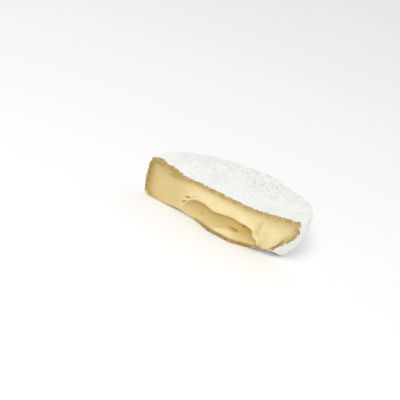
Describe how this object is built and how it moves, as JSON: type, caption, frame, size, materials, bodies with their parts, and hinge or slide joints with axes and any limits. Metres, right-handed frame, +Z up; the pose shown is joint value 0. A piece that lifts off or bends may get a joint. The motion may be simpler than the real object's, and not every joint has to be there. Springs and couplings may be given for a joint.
{
  "type": "half soft-ripened cheese wheel",
  "caption": "Half of a small soft cheese wheel with a white mould rind, lying flat, its cut face showing slumped cream paste.",
  "frame": {"origin": "under the middle of the half's box, on the surface it rests on", "axes": "+X along the cut, +Z up, -Y out of the cut face, the round rind behind it towards +Y"},
  "size_m": [0.1116, 0.0692, 0.0303],
  "materials": {
    "rind": "velvety white mould, matt, with faint grey and cream specks",
    "paste": "soft pale cream paste, satin, darker towards the rind"
  },
  "bodies": {
    "root": {"wheel_half": "rind"}
  },
  "joints": []
}
